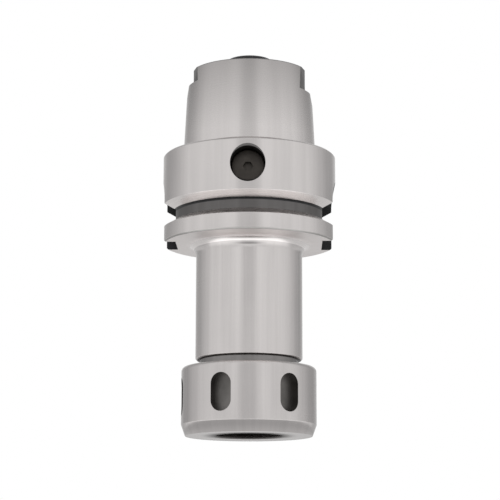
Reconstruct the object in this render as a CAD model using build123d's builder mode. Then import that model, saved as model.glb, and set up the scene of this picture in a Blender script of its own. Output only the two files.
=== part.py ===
from build123d import *
import os
from math import cos, radians, sin, tan

os.makedirs("parts", exist_ok=True)

# Frame: the origin is on the turning axis, in the flange face that seats on the spindle.
# +Z points along the shank into the spindle, and the chip hole is on the -Y side.
# All sizes are in millimetres and all angles in degrees.

# General clearances
thread_clearance = 0.05
running_clearance = 0.1
seat_gap = 0.2
cone_clearance = 0.05
cut_margin = 2.0

# Shank: hollow taper, 1 to 9.98
shank_length = 25.0
gauge_radius = 19.0045
gauge_height = 5.0
taper_per_mm = 1 / (2 * 9.98)
shank_end_chamfer = 0.3
relief_height = 1.2
relief_depth = 0.35
relief_face_width = 1.0

# Shank cavity
cavity_mouth_radius = 13.0
cavity_mouth_chamfer = 0.8
cavity_bevel_top = 19.2
cavity_bevel_angle = 30.0
cavity_radius = 14.5
cavity_floor_height = 2.0
cavity_floor_fillet = 1.5

# Drive keyways at the shank end
keyway_width = 10.54
keyway_bevel_reach = 4.2
keyway_bevel_rise = 3.2
keyway_inner_reach = 8.0
narrow_side_keyway_depth = 7.6
wide_side_keyway_depth = 10.1

# Flange with its gripper groove
flange_radius = 25.0
flange_thickness = 26.0
flange_top_chamfer = 0.5
flange_lip_chamfer = 0.4
groove_centre_depth = 18.1
groove_bottom_width = 2.8
groove_bottom_radius = 21.7
groove_flank_angle = 30.0

# Side slots in the flange
side_slot_floor = 21.0
side_slot_top_depth = 7.6
narrow_slot_width = 12.0
wide_slot_width = 14.0

# Chip hole and its plug
chip_hole_diameter = 9.8
chip_hole_depth = 10.0
chip_hole_centre_depth = 7.25
chip_plug_clearance = 0.1
chip_plug_recess = 4.8
chip_plug_rim_chamfer = 0.5
chip_plug_socket_size = 2.5
chip_plug_socket_depth = 1.6

# Nose
nose_radius = 15.3
nose_fillet = 3.5
nose_end_chamfer = 0.4
neck_radius = 14.0
neck_length = 3.2
thread_radius = 15.0
thread_length = 9.4
thread_lead_chamfer = 0.8
body_end_depth = 72.1

# Clamping nut
nut_length = 19.6
nut_radius = 19.25
nut_top_round = 1.4
nut_nose_length = 3.2
nut_face_radius = 18.1
nut_front_wall = 1.8
nut_mouth_radius = 9.5
nut_mouth_chamfer = 0.3
nut_thread_lead = 1.0
nut_step_gap = 0.5

# Spanner pockets
pocket_count = 6
pocket_width = 6.1
pocket_height = 10.7
pocket_depth = 2.85
pocket_centre_rise = 10.95
pocket_first_angle = -113.0

# Ball race between nut and pressure ring
ball_count = 24
ball_radius = 1.5
race_circle_radius = 14.35
race_rise = 4.4
filler_pocket_offset = 3.5

# Collet
collet_recess = 2.0
collet_mouth_overlap = 0.63
collet_length = 34.0
collet_bore_radius = 6.0
collet_bore_chamfer = 0.5
collet_face_radius = 9.9
collet_collar_radius = 12.4
collet_front_angle = 30.0
collet_collar_width = 0.7
collet_groove_radius = 11.0
collet_groove_width = 2.6
collet_taper_radius = 12.3
collet_taper_angle = 8.0
collet_slot_width = 0.7
collet_slots_per_end = 6
collet_first_slot_angle = 7.5
collet_front_bridge = 5.0
collet_back_bridge = 7.0

# Pressure ring
ring_lip_thickness = 1.2
ring_lip_clearance = 0.4
ring_collar_clearance = 0.3

# Stop screw behind the collet
stop_thread_radius = 6.0
stop_screw_length = 12.0
stop_screw_gap = 2.3
stop_travel = 5.0
stop_screw_chamfer = 0.6
stop_socket_size = 6.0
stop_socket_depth = 5.0
stop_bore_end_gap = 1.5
coolant_hole_radius = 2.0
coolant_channel_radius = 3.0

# Coolant tube and the union that holds it
union_thread_radius = 9.0
union_bore_depth = 11.0
union_length = 5.6
union_notch_width = 2.0
union_notch_depth = 1.5
tube_radius = 7.0
tube_shank_radius = 6.8
tube_land_length = 14.4
tube_bore_radius = 4.0
tube_top_height = 29.3
tube_top_chamfer = 0.5
tube_side_clearance = 0.3
tube_collar_radius = 8.4
tube_collar_thickness = 2.0
seal_section_radius = 0.7
seal_gap = 0.25

# Levels worked out from the sizes above
flange_bottom = -flange_thickness
groove_flank_height = (flange_radius - groove_bottom_radius) * tan(radians(groove_flank_angle))
groove_bottom_top = -groove_centre_depth + groove_bottom_width / 2
groove_bottom_low = -groove_centre_depth - groove_bottom_width / 2
body_end = -body_end_depth
neck_end = body_end + thread_length
nose_end = neck_end + neck_length
collet_taper_start = body_end + collet_mouth_overlap
collar_top = collet_taper_start - collet_groove_width
collar_bottom = collar_top - collet_collar_width
collet_front = collar_bottom - (collet_collar_radius - collet_face_radius) / tan(radians(collet_front_angle))
collet_back = collet_front + collet_length
nut_face = collet_front - collet_recess
nut_top = nut_face + nut_length
nut_inner_floor = nut_face + nut_front_wall
race_level = nut_face + race_rise
race_groove_radius = ball_radius + thread_clearance
nut_bore_radius = thread_radius + thread_clearance
collet_slope = tan(radians(collet_taper_angle))
stop_screw_bottom = collet_back + stop_screw_gap
stop_screw_top = stop_screw_bottom + stop_screw_length
stop_bore_top = stop_screw_top + stop_travel + stop_bore_end_gap
cone_bore_end = collet_back + stop_screw_gap / 2
union_floor = cavity_floor_height - union_bore_depth
ring_outer_radius = race_circle_radius - running_clearance / 2
nut_cavity_radius = race_circle_radius + running_clearance / 2


def taper_radius(height):
    """Radius of the shank's outside at a height above the flange face."""
    return gauge_radius - (height - gauge_height) * taper_per_mm


def collet_taper_at(level):
    """Radius of the collet's long cone at a level."""
    return collet_taper_radius - (level - collet_taper_start) * collet_slope


def ring_at(radius, level, section_radius):
    """A round ring about the axis, as a sketch to revolve."""
    with Locations((radius, level)):
        Circle(section_radius)


# Chuck body: shank, flange and nose from one bar
with BuildPart() as chuck_body:
    with BuildSketch(Plane.XZ):
        with BuildLine():
            shank_corner = (taper_radius(shank_length - shank_end_chamfer), shank_length - shank_end_chamfer)
            relief_radius = taper_radius(relief_height) - relief_depth
            shank_side = Polyline(
                (0, body_end),
                (0, shank_length),
                (taper_radius(shank_length) - shank_end_chamfer, shank_length),
                shank_corner,
                (taper_radius(relief_height + relief_depth), relief_height + relief_depth),
                (relief_radius, relief_height),
                (relief_radius, -relief_depth),
                (relief_radius + relief_face_width, -relief_depth),
                (relief_radius + relief_face_width + relief_depth, 0),
                (flange_radius - flange_top_chamfer, 0),
                (flange_radius, -flange_top_chamfer),
                (flange_radius, groove_bottom_top + groove_flank_height),
                (groove_bottom_radius, groove_bottom_top),
                (groove_bottom_radius, groove_bottom_low),
                (flange_radius, groove_bottom_low - groove_flank_height),
                (flange_radius, flange_bottom + flange_lip_chamfer),
                (flange_radius - flange_lip_chamfer, flange_bottom),
                (nose_radius + nose_fillet, flange_bottom),
            )
            CenterArc((nose_radius + nose_fillet, flange_bottom - nose_fillet), nose_fillet, 90, 90)
            nose_side = Polyline(
                (nose_radius, flange_bottom - nose_fillet),
                (nose_radius, nose_end + nose_end_chamfer),
                (nose_radius - nose_end_chamfer, nose_end),
                (neck_radius, nose_end),
                (neck_radius, neck_end),
                (thread_radius, neck_end - (thread_radius - neck_radius)),
                (thread_radius, body_end + thread_lead_chamfer),
                (thread_radius - thread_lead_chamfer, body_end),
                (0, body_end),
            )
        make_face()
    revolve(axis=Axis.Z)

    # Cavity in the shank, with the bevel that the spindle's gripper pulls on
    with BuildSketch(Plane.XZ):
        with BuildLine():
            bevel_height = (cavity_radius - cavity_mouth_radius) / tan(radians(cavity_bevel_angle))
            Polyline(
                (0, cavity_floor_height),
                (0, shank_length),
                (cavity_mouth_radius + cavity_mouth_chamfer, shank_length),
                (cavity_mouth_radius, shank_length - cavity_mouth_chamfer),
                (cavity_mouth_radius, cavity_bevel_top),
                (cavity_radius, cavity_bevel_top - bevel_height),
                (cavity_radius, cavity_floor_height + cavity_floor_fillet),
                (cavity_radius - cavity_floor_fillet, cavity_floor_height),
                (0, cavity_floor_height),
            )
        make_face()
    revolve(axis=Axis.Z, mode=Mode.SUBTRACT)

    # Bores down the axis, from the union's thread to the collet's cone
    with BuildSketch(Plane.XZ):
        with BuildLine():
            Polyline(
                (0, cavity_floor_height),
                (union_thread_radius, cavity_floor_height),
                (union_thread_radius, union_floor),
                (coolant_channel_radius, union_floor),
                (coolant_channel_radius, stop_bore_top),
                (stop_thread_radius, stop_bore_top),
                (stop_thread_radius, cone_bore_end),
                (collet_taper_at(cone_bore_end) + cone_clearance, cone_bore_end),
                (collet_taper_at(body_end) + cone_clearance, body_end),
                (0, body_end),
                (0, cavity_floor_height),
            )
        make_face()
    revolve(axis=Axis.Z, mode=Mode.SUBTRACT)

    # Two round-ended keyways through the wall of the shank, with wide bevels outside
    for side, depth in ((-1, narrow_side_keyway_depth), (1, wide_side_keyway_depth)):
        keyway_floor = shank_length - depth
        keyway_run = depth + cut_margin - keyway_width / 2
        bevel_start = taper_radius(shank_length) - keyway_bevel_reach
        for start, reach, slant, rise in (
            (keyway_inner_reach, gauge_radius - keyway_inner_reach + cut_margin, 0, 0),
            (bevel_start, cut_margin + keyway_bevel_reach, -45, keyway_bevel_rise),
        ):
            with BuildSketch(Plane.YZ.offset(side * start)):
                with Locations((0, keyway_floor + keyway_width / 2 + rise)):
                    Circle(keyway_width / 2)
                    Rectangle(keyway_width, keyway_run, align=(Align.CENTER, Align.MIN))
            extrude(amount=side * reach, taper=slant, mode=Mode.SUBTRACT)

    # Two side slots down through the gripper groove and the lip
    for side, width in ((-1, narrow_slot_width), (1, wide_slot_width)):
        with BuildSketch(Plane.YZ.offset(side * side_slot_floor)):
            with Locations((0, -side_slot_top_depth - width / 2)):
                Circle(width / 2)
                Rectangle(width, flange_thickness, align=(Align.CENTER, Align.MAX))
        extrude(amount=side * (flange_radius - side_slot_floor + cut_margin), mode=Mode.SUBTRACT)

    # Hole for the data chip or its plug
    with BuildSketch(Plane.XZ.offset(flange_radius - chip_hole_depth)):
        with Locations((0, -chip_hole_centre_depth)):
            Circle(chip_hole_diameter / 2)
    extrude(amount=chip_hole_depth + cut_margin, mode=Mode.SUBTRACT)

# Plug deep in the chip hole, with a small hexagon socket
chip_plug_radius = chip_hole_diameter / 2 - chip_plug_clearance
with BuildPart() as chip_plug:
    with BuildSketch(Plane.XZ.offset(flange_radius - chip_hole_depth)):
        with Locations((0, -chip_hole_centre_depth)):
            Circle(chip_plug_radius)
    extrude(amount=chip_hole_depth - chip_plug_recess)
    chamfer(chip_plug.faces().sort_by(Axis.Y)[0].edges(), chip_plug_rim_chamfer)
    with BuildSketch(Plane.XZ.offset(flange_radius - chip_plug_recess)):
        with Locations((0, -chip_hole_centre_depth)):
            RegularPolygon(chip_plug_socket_size / 2, 6, major_radius=False)
    extrude(amount=-chip_plug_socket_depth, mode=Mode.SUBTRACT)

# Clamping nut: threaded top, ball race and front wall
with BuildPart() as clamping_nut:
    with BuildSketch(Plane.XZ):
        with BuildLine():
            nut_step = body_end - nut_step_gap
            top_radius = nut_radius - nut_top_round
            Polyline((nut_bore_radius + nut_thread_lead, nut_top), (top_radius, nut_top))
            CenterArc((top_radius, nut_top - nut_top_round), nut_top_round, 0, 90)
            Polyline(
                (nut_radius, nut_top - nut_top_round),
                (nut_radius, nut_face + nut_nose_length),
                (nut_face_radius, nut_face),
                (nut_mouth_radius + nut_mouth_chamfer, nut_face),
                (nut_mouth_radius, nut_face + nut_mouth_chamfer),
                (nut_mouth_radius, nut_inner_floor),
                (nut_cavity_radius, nut_inner_floor),
                (nut_cavity_radius, nut_step),
                (nut_bore_radius, nut_step),
                (nut_bore_radius, nut_top - nut_thread_lead),
                (nut_bore_radius + nut_thread_lead, nut_top),
            )
        make_face()
    revolve(axis=Axis.Z)
    with BuildSketch(Plane.XZ):
        ring_at(race_circle_radius, race_level, race_groove_radius)
    revolve(axis=Axis.Z, mode=Mode.SUBTRACT)
    for index in range(pocket_count):
        angle = radians(pocket_first_angle + index * 360 / pocket_count)
        outward = Vector(cos(angle), sin(angle), 0)
        middle = outward * (nut_radius - pocket_depth) + Vector(0, 0, nut_face + pocket_centre_rise)
        with BuildSketch(Plane(origin=middle, x_dir=(0, 0, 1), z_dir=outward)):
            SlotOverall(pocket_height, pocket_width)
        extrude(amount=pocket_depth + cut_margin, mode=Mode.SUBTRACT)
    filler_angle = radians(pocket_first_angle + filler_pocket_offset * 360 / pocket_count)
    filler_outward = Vector(cos(filler_angle), sin(filler_angle), 0)
    filler_start = filler_outward * race_circle_radius + Vector(0, 0, race_level)
    with BuildSketch(Plane(origin=filler_start, z_dir=filler_outward)):
        Circle(ball_radius + running_clearance)
    extrude(amount=nut_radius - race_circle_radius + cut_margin, mode=Mode.SUBTRACT)

# Plug that closes the hole through which the balls go in
filler_inner_radius = race_circle_radius + race_groove_radius + running_clearance
with BuildPart() as ball_filler_plug:
    filler_seat = filler_outward * filler_inner_radius + Vector(0, 0, race_level)
    with BuildSketch(Plane(origin=filler_seat, z_dir=filler_outward)):
        Circle(ball_radius + thread_clearance)
    extrude(amount=nut_radius - filler_inner_radius - seat_gap)

# Pressure ring: cone that presses the collet, and the lip that pulls it out
ring_bottom = nut_inner_floor + seat_gap
ring_lip_bottom = collar_top + ring_lip_clearance
ring_top = ring_lip_bottom + ring_lip_thickness
ring_slope = tan(radians(collet_front_angle))
ring_chamber_radius = collet_collar_radius + ring_collar_clearance
ring_cone_bottom = collet_face_radius + (ring_bottom - collet_front) * ring_slope + cone_clearance
ring_cone_top = collet_collar_radius + cone_clearance
with BuildPart() as pressure_ring:
    with BuildSketch(Plane.XZ):
        with BuildLine():
            Polyline(
                (ring_cone_bottom, ring_bottom),
                (ring_cone_top, collar_bottom),
                (ring_chamber_radius, collar_bottom),
                (ring_chamber_radius, ring_lip_bottom),
                (collet_groove_radius + ring_lip_clearance, ring_lip_bottom),
                (collet_groove_radius + ring_lip_clearance, ring_top),
                (ring_outer_radius, ring_top),
                (ring_outer_radius, ring_bottom),
                (ring_cone_bottom, ring_bottom),
            )
        make_face()
    revolve(axis=Axis.Z)
    with BuildSketch(Plane.XZ):
        ring_at(race_circle_radius, race_level, race_groove_radius)
    revolve(axis=Axis.Z, mode=Mode.SUBTRACT)

# Balls, one to each place round the race
bearing_balls = []
for index in range(ball_count):
    angle = radians(pocket_first_angle + index * 360 / ball_count)
    with BuildPart() as bearing_ball:
        with Locations((race_circle_radius * cos(angle), race_circle_radius * sin(angle), race_level)):
            Sphere(ball_radius)
    bearing_ball.part.label = f"bearing_ball_{index + 1:02d}"
    bearing_balls.append(bearing_ball.part)

# Spring collet, slotted from both ends in turn
with BuildPart() as collet:
    with BuildSketch(Plane.XZ):
        with BuildLine():
            Polyline(
                (collet_bore_radius + collet_bore_chamfer, collet_front),
                (collet_face_radius, collet_front),
                (collet_collar_radius, collar_bottom),
                (collet_collar_radius, collar_top),
                (collet_groove_radius, collar_top),
                (collet_groove_radius, collet_taper_start),
                (collet_taper_radius, collet_taper_start),
                (collet_taper_at(collet_back), collet_back),
                (collet_bore_radius + collet_bore_chamfer, collet_back),
                (collet_bore_radius, collet_back - collet_bore_chamfer),
                (collet_bore_radius, collet_front + collet_bore_chamfer),
                (collet_bore_radius + collet_bore_chamfer, collet_front),
            )
        make_face()
    revolve(axis=Axis.Z)
    slot_pitch = 360 / collet_slots_per_end
    front_slot_length = collet_length - collet_front_bridge
    back_slot_length = collet_length - collet_back_bridge
    for level, run, turn, side in (
        (collet_front, front_slot_length, collet_first_slot_angle, Align.MIN),
        (collet_back, back_slot_length, collet_first_slot_angle + slot_pitch / 2, Align.MAX),
    ):
        with Locations((0, 0, level)):
            with PolarLocations(0, collet_slots_per_end, start_angle=turn):
                Box(
                    collet_collar_radius + cut_margin,
                    collet_slot_width,
                    run,
                    align=(Align.MIN, Align.CENTER, side),
                    mode=Mode.SUBTRACT,
                )

# Stop screw behind the collet, hollow for coolant
with BuildPart() as stop_screw:
    with BuildSketch(Plane.XY.offset(stop_screw_bottom)):
        Circle(stop_thread_radius - thread_clearance)
        Circle(coolant_hole_radius, mode=Mode.SUBTRACT)
    extrude(amount=stop_screw_length)
    for level in (stop_screw_bottom, stop_screw_top):
        rim = stop_screw.edges().filter_by(GeomType.CIRCLE).filter_by_position(Axis.Z, level, level)
        chamfer(rim.sort_by(SortBy.RADIUS)[-1], stop_screw_chamfer)
    with BuildSketch(Plane.XY.offset(stop_screw_bottom)):
        RegularPolygon(stop_socket_size / 2, 6, major_radius=False)
    extrude(amount=stop_socket_depth, mode=Mode.SUBTRACT)

# Coolant tube with the collar that the union traps
lower_seal_level = union_floor + seal_section_radius
tube_collar_bottom = lower_seal_level + seal_section_radius + seal_gap
tube_collar_top = tube_collar_bottom + tube_collar_thickness
upper_seal_level = tube_collar_top + seal_gap + seal_section_radius
union_bottom = upper_seal_level + seal_section_radius
union_bore = tube_radius + tube_side_clearance
tube_land_bottom = tube_top_height - tube_top_chamfer - tube_land_length
with BuildPart() as coolant_tube:
    with BuildSketch(Plane.XZ):
        with BuildLine():
            Polyline(
                (tube_bore_radius, tube_collar_bottom),
                (tube_collar_radius, tube_collar_bottom),
                (tube_collar_radius, tube_collar_top),
                (tube_shank_radius, tube_collar_top),
                (tube_shank_radius, tube_land_bottom),
                (tube_radius, tube_land_bottom),
                (tube_radius, tube_top_height - tube_top_chamfer),
                (tube_radius - tube_top_chamfer, tube_top_height),
                (tube_bore_radius, tube_top_height),
                (tube_bore_radius, tube_collar_bottom),
            )
        make_face()
    revolve(axis=Axis.Z)

# Union: threaded sleeve over the tube's collar, with four notches for its spanner
with BuildPart() as coolant_union:
    with BuildSketch(Plane.XY.offset(union_bottom)):
        Circle(union_thread_radius - thread_clearance)
        Circle(union_bore, mode=Mode.SUBTRACT)
    extrude(amount=union_length)
    with Locations((0, 0, union_bottom + union_length)):
        for turn in (0, 90):
            Box(
                2 * union_thread_radius,
                union_notch_width,
                2 * union_notch_depth,
                rotation=(0, 0, turn),
                mode=Mode.SUBTRACT,
            )

# Rings that seal the tube's collar, above and below it
seal_circle_radius = (tube_collar_radius + tube_shank_radius) / 2
with BuildPart() as coolant_seal_lower:
    with BuildSketch(Plane.XZ):
        ring_at(seal_circle_radius, lower_seal_level, seal_section_radius)
    revolve(axis=Axis.Z)
with BuildPart() as coolant_seal_upper:
    with BuildSketch(Plane.XZ):
        ring_at(union_bore + seal_section_radius, upper_seal_level, seal_section_radius)
    revolve(axis=Axis.Z)

chuck_body.part.label = "chuck_body"
chip_plug.part.label = "chip_plug"
clamping_nut.part.label = "clamping_nut"
ball_filler_plug.part.label = "ball_filler_plug"
pressure_ring.part.label = "pressure_ring"
collet.part.label = "collet"
stop_screw.part.label = "stop_screw"
coolant_tube.part.label = "coolant_tube"
coolant_union.part.label = "coolant_union"
coolant_seal_lower.part.label = "coolant_seal_lower"
coolant_seal_upper.part.label = "coolant_seal_upper"

export_step(chuck_body.part, "parts/chuck_body.step")
export_step(chip_plug.part, "parts/chip_plug.step")
export_step(clamping_nut.part, "parts/clamping_nut.step")
export_step(ball_filler_plug.part, "parts/ball_filler_plug.step")
export_step(pressure_ring.part, "parts/pressure_ring.step")
export_step(collet.part, "parts/collet.step")
export_step(stop_screw.part, "parts/stop_screw.step")
export_step(coolant_tube.part, "parts/coolant_tube.step")
export_step(coolant_union.part, "parts/coolant_union.step")
export_step(coolant_seal_lower.part, "parts/coolant_seal_lower.step")
export_step(coolant_seal_upper.part, "parts/coolant_seal_upper.step")
for ball in bearing_balls:
    export_step(ball, f"parts/{ball.label}.step")
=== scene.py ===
import math

import bmesh
import bpy
from mathutils import Matrix, Vector


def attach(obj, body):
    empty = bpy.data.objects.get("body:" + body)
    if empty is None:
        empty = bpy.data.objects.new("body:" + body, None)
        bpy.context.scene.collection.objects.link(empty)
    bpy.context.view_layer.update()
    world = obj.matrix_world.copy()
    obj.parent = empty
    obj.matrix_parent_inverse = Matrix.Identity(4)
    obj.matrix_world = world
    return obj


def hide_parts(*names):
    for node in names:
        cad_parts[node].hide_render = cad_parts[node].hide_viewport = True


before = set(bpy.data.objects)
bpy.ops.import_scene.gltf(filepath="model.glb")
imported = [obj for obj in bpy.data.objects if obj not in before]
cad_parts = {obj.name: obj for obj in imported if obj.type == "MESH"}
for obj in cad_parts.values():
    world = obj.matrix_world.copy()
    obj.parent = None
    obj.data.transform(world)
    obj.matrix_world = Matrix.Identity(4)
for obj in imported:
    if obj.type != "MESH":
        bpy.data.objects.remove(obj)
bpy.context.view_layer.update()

# Units and mesh density
MM = 0.001
TURNS = 256
ARC_STEPS = 10
CUT_STEPS = 40
EDGE_STEPS = 3
THREAD_STEPS = 96
EDGE_ROUND = 0.12 * MM
EDGE_SHARE = 0.3
CUT_MARGIN = 2.0 * MM
UP = Vector((0, 0, 1))

# Limits for what counts as straight, as sharp (on the redrawn pieces and on the others), as short or near,
# as on the turned surface, and as inside a band of finish
STRAIGHT_ANGLE = math.radians(178)
SHARP_ANGLE = math.radians(28)
CREASE_ANGLE = math.radians(30)
SHORTEST = 1e-9
NEAR = 0.001 * MM
SURFACE_SLACK = 0.02 * MM
SURFACE_MATCH = 0.9995
FINISH_MARGIN = 0.02 * MM
RADIUS_MARGIN = 0.01 * MM
WALL_MARGIN = 0.1 * MM

# Shank
SHANK_LENGTH = 25.0 * MM
GAUGE_RADIUS = 19.0045 * MM
GAUGE_HEIGHT = 5.0 * MM
TAPER_SLOPE = 1 / (2 * 9.98)
SHANK_END_CHAMFER = 0.3 * MM
RELIEF_HEIGHT = 1.2 * MM
RELIEF_DEPTH = 0.35 * MM
RELIEF_FACE_WIDTH = 1.0 * MM
CAVITY_MOUTH_RADIUS = 13.0 * MM
CAVITY_MOUTH_CHAMFER = 0.8 * MM
CAVITY_BEVEL_TOP = 19.2 * MM
CAVITY_BEVEL_ANGLE = math.radians(30.0)
CAVITY_RADIUS = 14.5 * MM
CAVITY_FLOOR = 2.0 * MM
CAVITY_FLOOR_FILLET = 1.5 * MM

# Keyways in the shank's end. Each corner has an upright facet, leaning in from its crest, and a ledge below.
KEYWAY_WIDTH = 10.54 * MM
KEYWAY_INNER_REACH = 8.0 * MM
KEYWAY_DEPTHS = {-1: 7.6 * MM, 1: 10.1 * MM}
KEYWAY_FACET_CREST = 16.2 * MM
KEYWAY_FACET_LEAN = math.radians(15.0)
KEYWAY_FACET_START = KEYWAY_WIDTH / 2 - 0.5 * MM
KEYWAY_FACET_END = 12.0 * MM
KEYWAY_FACET_RISE = 3.2 * MM

# Flange
FLANGE_RADIUS = 25.0 * MM
FLANGE_BOTTOM = -26.0 * MM
FLANGE_TOP_CHAMFER = 0.5 * MM
FLANGE_LIP_CHAMFER = 0.4 * MM
GROOVE_CENTRE = -18.1 * MM
GROOVE_BOTTOM_WIDTH = 2.8 * MM
GROOVE_BOTTOM_RADIUS = 21.7 * MM
GROOVE_FLANK_SLOPE = math.tan(math.radians(30.0))
GROOVE_FLANK_HEIGHT = (FLANGE_RADIUS - GROOVE_BOTTOM_RADIUS) * GROOVE_FLANK_SLOPE
GROOVE_SHADE = 0.3 * MM
SLOT_FLOOR = 21.0 * MM
SLOT_TOP = -7.6 * MM
SLOT_WIDTHS = {-1: 12.0 * MM, 1: 14.0 * MM}

# Chip hole and its plug
CHIP_HOLE_RADIUS = 4.9 * MM
CHIP_HOLE_DEPTH = 10.0 * MM
CHIP_HOLE_CENTRE = -7.25 * MM
CHIP_RIM_CHAMFER = 0.55 * MM
CHIP_PLUG_RADIUS = 4.8 * MM
CHIP_PLUG_RECESS = 4.8 * MM
CHIP_PLUG_CHAMFER = 0.5 * MM
CHIP_PLUG_ARC_STEPS = 6
CHIP_SOCKET_SIZE = 2.5 * MM
CHIP_SOCKET_DEPTH = 1.6 * MM

# Nose and bores
NOSE_RADIUS = 15.3 * MM
NOSE_FILLET = 3.5 * MM
NOSE_END = -59.5 * MM
NOSE_END_CHAMFER = 0.4 * MM
NECK_RADIUS = 14.0 * MM
NECK_END = -62.7 * MM
THREAD_RADIUS = 15.0 * MM
THREAD_PITCH = 1.5 * MM
THREAD_DEPTH = 0.85 * MM
THREAD_LEAD_CHAMFER = 0.8 * MM
BODY_END = -72.1 * MM
UNION_BORE_RADIUS = 9.0 * MM
UNION_FLOOR = -9.0 * MM
CHANNEL_RADIUS = 3.0 * MM
STOP_BORE_RADIUS = 6.0 * MM
STOP_BORE_TOP = -24.3 * MM
CONE_BORE_END = -43.95 * MM
CONE_END_RADIUS = 8.482 * MM
CONE_MOUTH_RADIUS = 12.438 * MM

# The thread's helix: room at its ends, sinking into the root, its section as shares of the pitch, and its
# fading out at both ends
HELIX_ROOM = 1.1 * MM
HELIX_SINK = 0.05 * MM
HELIX_ROOT_SHARE = 0.48
HELIX_CREST_SHARE = 0.07
HELIX_FADE_TURNS = 0.5
HELIX_LEAST_WIDTH = 0.15

# Where the body's finish changes: shares of the nose fillet, where painted light covers the flange's
# underside and the fillet's top, and the widest bore
UNDERSIDE_SHARE = 0.12
FILLET_SHARE = 0.45
BORE_LIMIT = THREAD_RADIUS - 1.5 * MM

# Clamping nut
NUT_FACE = -81.1 * MM
NUT_TOP = -61.5 * MM
NUT_RADIUS = 19.25 * MM
NUT_TOP_ROUND = 1.4 * MM
NUT_NOSE_TOP = -77.9 * MM
NUT_FACE_RADIUS = 18.1 * MM
NUT_INNER_FLOOR = -79.3 * MM
NUT_MOUTH_RADIUS = 9.5 * MM
NUT_MOUTH_CHAMFER = 0.3 * MM
NUT_CAVITY_RADIUS = 14.4 * MM
NUT_STEP = -72.6 * MM
NUT_BORE_RADIUS = 15.05 * MM
NUT_THREAD_LEAD = 1.0 * MM
NUT_INSIDE_REACH = 0.9 * MM
NUT_MOUTH_BRIGHT = 0.8 * MM
NUT_MARGIN = 0.05 * MM
POCKET_COUNT = 6
POCKET_WIDTH = 6.1 * MM
POCKET_HEIGHT = 10.7 * MM
POCKET_DEPTH = 2.85 * MM
POCKET_CENTRE = -70.15 * MM
POCKET_FIRST_ANGLE = math.radians(-113.0)
FILLER_ANGLE = POCKET_FIRST_ANGLE + 3.5 * 2 * math.pi / POCKET_COUNT
FILLER_HOLE_RADIUS = 1.6 * MM
RACE_LEVEL = -76.7 * MM
RACE_RADIUS = 1.55 * MM
RACE_CIRCLE_RADIUS = 14.35 * MM

# Photograph and camera
IMAGE_SIZE = 500
FOCAL_PIXELS = 1698.5
SENSOR = 36.0
CAMERA_DISTANCE = 482.56 * MM
CAMERA_HEIGHT = -119.93 * MM
CAMERA_PITCH = math.radians(10.866)
CAMERA_AZIMUTH = math.radians(1.1)
CAMERA_ROLL = math.radians(0.12)
CAMERA_CLIP_START = 10.0 * MM
AXIS_COLUMN = 249.2

# Lamps, in metres and watts
LAMP_POWER = 0.15
LAMP_PLACES = {"lamp_left": (-0.48, -0.94, 0.35), "lamp_right": (0.48, -0.94, 0.35)}
LAMP_AIM = (0, 0, -0.03)
LAMP_SIZE = (0.5, 0.8)

# Floor, and the tones that metal shows of it, a painted reflection that glows: all round and in front, by the
# distance from the axis as a share of the reach, and a painted shade round a stand's place in front, where no
# stand is built
FLOOR_LEVEL = NUT_FACE - 0.3 * MM
FLOOR_HALF = 3.0
FLOOR_COLOR = (0.9, 0.9, 0.9, 1)
FLOOR_TONE_REACH = 300.0 * MM
PAINTED_REFLECTION_GLOW = 2.0
PAINTED_FLOOR_REFLECTION = (
    (0.0, 0.01),
    (0.028, 0.01),
    (0.045, 0.37),
    (0.06, 0.36),
    (0.073, 0.28),
    (0.11, 0.28),
    (0.15, 0.3),
    (0.37, 0.32),
    (1.0, 0.37),
)
PAINTED_FRONT_REFLECTION = (
    (0.0, 0.0),
    (0.088, 0.0),
    (0.1, 0.36),
    (0.15, 0.4),
    (0.22, 0.36),
    (0.37, 0.28),
    (0.66, 0.15),
    (1.0, 0.1),
)
FLOOR_FRONT_EDGE = (-4.0 * MM, 12.0 * MM)
STAND_PLACE = -105.0 * MM
STAND_REACH = (25.0 * MM, 60.0 * MM)
PAINTED_STAND_SHADE = 0.35

# Tones that metal shows of the backdrop, from the front to the far side, and the even light on the object
WORLD_TONES = (
    (0.0, 0.71),
    (0.012, 0.77),
    (0.036, 1.0),
    (0.06, 1.0),
    (0.085, 0.87),
    (0.12, 0.88),
    (0.3, 0.99),
    (0.43, 0.94),
    (0.52, 0.87),
    (0.62, 0.75),
    (0.72, 0.6),
    (0.81, 0.48),
    (0.9, 0.43),
    (1.0, 0.9),
)
WORLD_LIGHT = (0.8, 0.8, 0.8, 1)
WORLD_POLE = 1e-4
BACKGROUND = (1, 1, 1, 1)

# Turned marks: how often the noise repeats round the axis and along it, and its mix with the soft clouds
LINE_REPEATS = (1.3, 9000.0)
STREAK_REPEATS = (9.0, 12.0)
RING_SLANT = 0.9
LINE_NOISE = (1.0, 3.0, 0.65)
STREAK_NOISE = (1.0, 3.0, 0.6)
CLOUD_NOISE = (90.0, 3.0)
AXIS_LIMIT = 0.01 * MM
CLOUD_TONE_SHARE = 0.25
CLOUD_ROUGH_SHARE = 0.4
RELIEF_DISTANCE = 0.02 * MM

# Even grain: detail and roughness of its noise, and how often its soft clouds repeat for each of its own
GRAIN_NOISE = (4.0, 0.6)
GRAIN_CLOUD_SHARE = 0.12


def link(name, mesh):
    """Put a mesh into the scene as an object."""
    obj = bpy.data.objects.new(name, mesh)
    bpy.context.scene.collection.objects.link(obj)
    return obj


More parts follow.
